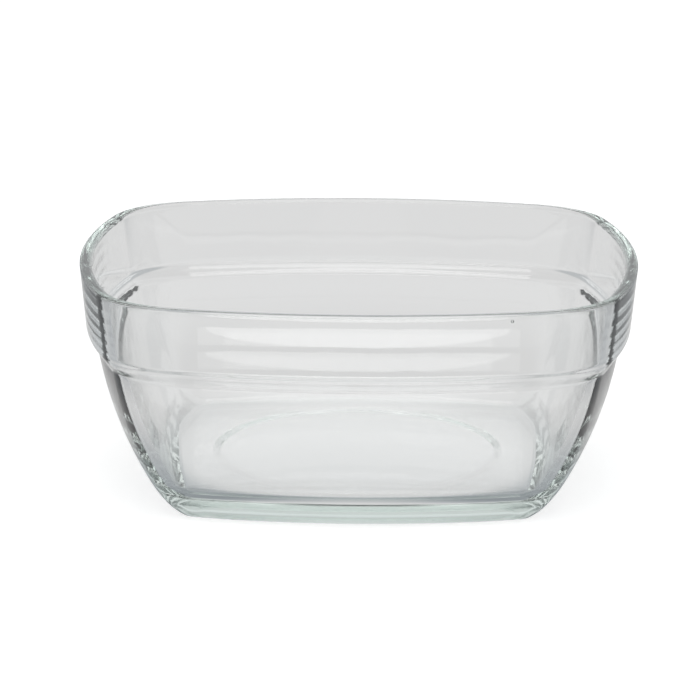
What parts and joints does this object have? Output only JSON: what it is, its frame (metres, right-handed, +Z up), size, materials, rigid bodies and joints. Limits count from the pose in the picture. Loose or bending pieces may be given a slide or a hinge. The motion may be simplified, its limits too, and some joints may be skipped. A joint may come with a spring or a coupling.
{
  "type": "square bowl",
  "caption": "Clear pressed-glass bowl, square with bulged sides and round corners, with a thick upright collar over a soft shoulder, walls that bow in to a small flat foot, and a thick base.",
  "frame": {"origin": "middle of the bottom of the bowl's box, in the plane of the foot that stands on the table", "axes": "+Z is up through the open mouth; the four sides face +X, -X, +Y and -Y, and the picture looks along +Y"},
  "size_m": [0.14, 0.14, 0.0572],
  "materials": {
    "clear_glass": "clear, fire-polished pressed glass with a faint green tint where it is thick"
  },
  "bodies": {
    "root": {"bowl": "clear_glass"}
  },
  "joints": []
}
